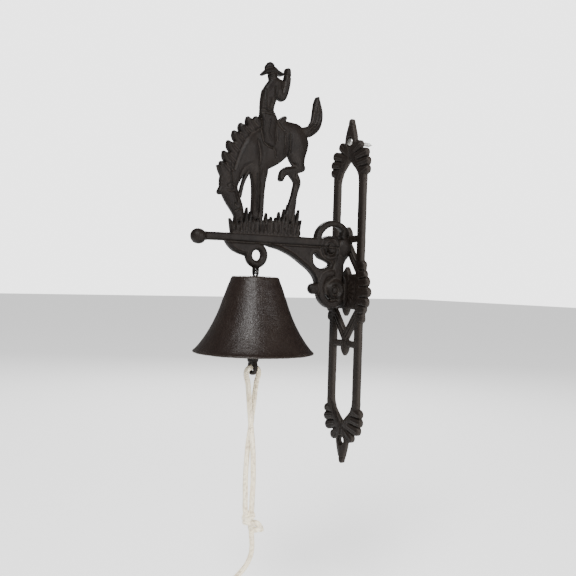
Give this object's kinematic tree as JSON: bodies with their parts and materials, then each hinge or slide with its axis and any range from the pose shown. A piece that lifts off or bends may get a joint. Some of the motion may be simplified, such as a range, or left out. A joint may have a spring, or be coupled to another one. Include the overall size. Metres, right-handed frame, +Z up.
{
  "type": "yard dinner bell",
  "caption": "Cast-iron wall bell on a scrolled bracket with a bucking horse and rider, rung by a knotted cotton rope on its clapper.",
  "frame": {"origin": "middle of the wall plate's flat back face", "axes": "+Z up along the plate's length, +Y into the wall, the arm reaches out along -Y"},
  "size_m": [0.112, 0.2059, 0.4885],
  "materials": {
    "cast_iron": "rough sand-cast iron, worn black paint with a brown tinge, satin on the high spots",
    "black_wire": "blackened iron wire, satin",
    "zinc_steel": "dulled zinc plate",
    "cotton_rope": "twisted three-strand cotton, matt"
  },
  "bodies": {
    "bracket": {"wall_plate": "cast_iron", "arm_casting": "cast_iron", "arm_screw_upper": "zinc_steel", "arm_screw_lower": "zinc_steel", "mounting_screw": "zinc_steel"},
    "hanger": {"hanger_wire": "black_wire"},
    "bell": {"bell_shell": "cast_iron", "crown_washer": "zinc_steel"},
    "link": {"clapper_link": "black_wire"},
    "clapper": {"clapper": "cast_iron"},
    "rope": {"rope_front_strand": "cotton_rope", "rope_back_strand": "cotton_rope", "rope_knot": "cotton_rope", "rope_stub": "cotton_rope", "rope_tail": "cotton_rope", "rope_end_knot": "cotton_rope"}
  },
  "joints": [
    {"name": "hanger_swing", "type": "hinge", "parent": "bracket", "child": "hanger", "pos_m": [0, -0.112, 0.0174], "axis": [1, 0, 0], "range_deg": [-18, 18]},
    {"name": "bell_rock", "type": "hinge", "parent": "hanger", "child": "bell", "pos_m": [0, -0.112, 0.0055], "axis": [0, 1, 0], "range_deg": [-4, 4]},
    {"name": "link_swing", "type": "hinge", "parent": "hanger", "child": "link", "pos_m": [0, -0.112, -0.0044], "axis": [-1, 0, 0], "range_deg": [-26, 33]},
    {"name": "clapper_swing", "type": "hinge", "parent": "link", "child": "clapper", "pos_m": [0, -0.112, -0.012], "axis": [0, 1, 0], "range_deg": [-8, 8]},
    {"name": "rope_swing", "type": "hinge", "parent": "clapper", "child": "rope", "pos_m": [0, -0.112, -0.0726], "axis": [0, 1, 0], "range_deg": [-25, 25]}
  ]
}
